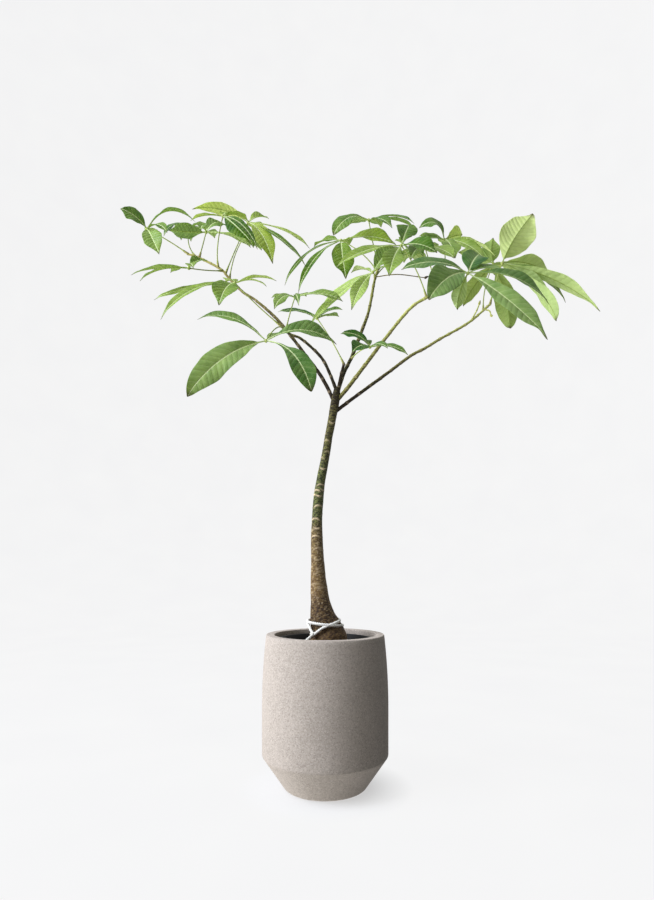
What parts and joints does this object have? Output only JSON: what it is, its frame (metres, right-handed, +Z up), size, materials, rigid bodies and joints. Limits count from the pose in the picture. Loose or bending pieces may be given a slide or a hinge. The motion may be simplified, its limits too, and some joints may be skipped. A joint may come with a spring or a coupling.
{
  "type": "potted money tree",
  "caption": "Small indoor tree with palmate leaves on a forked trunk, tied in its nursery pot inside a tapered stone planter.",
  "frame": {"origin": "middle of the planter's foot, on the surface that it stands on", "axes": "+Z up along the planter's axis, +X to the right and -Y to the front as the plant is seen"},
  "size_m": [1.1556, 0.4983, 1.4251],
  "materials": {
    "stone": "matt, fine grained",
    "plastic": "matt",
    "soil": "rough, crumbly",
    "bark": "rough bark",
    "string": "twisted fibre",
    "leaf": "satin, waxy"
  },
  "bodies": {
    "root": {"planter": "stone", "nursery_pot": "plastic", "soil": "soil", "trunk": "bark", "tie_string": "string", "leaf_left_far": "leaf", "leaf_left_high": "leaf", "leaf_left_shoot": "leaf", "leaf_left_low": "leaf", "leaf_crown_left": "leaf", "leaf_crown_front": "leaf", "leaf_mid_left": "leaf", "leaf_inner_high": "leaf", "leaf_inner_back": "leaf", "leaf_front_left": "leaf", "leaf_centre_low": "leaf", "leaf_top_left": "leaf", "leaf_top_centre": "leaf", "leaf_centre_right": "leaf", "leaf_top_right": "leaf", "leaf_front_right": "leaf", "leaf_right_far": "leaf", "leaf_right_back": "leaf", "leaf_centre_small": "leaf", "leaf_mid_right": "leaf", "leaf_centre_back": "leaf", "leaf_left_back": "leaf"}
  },
  "joints": []
}
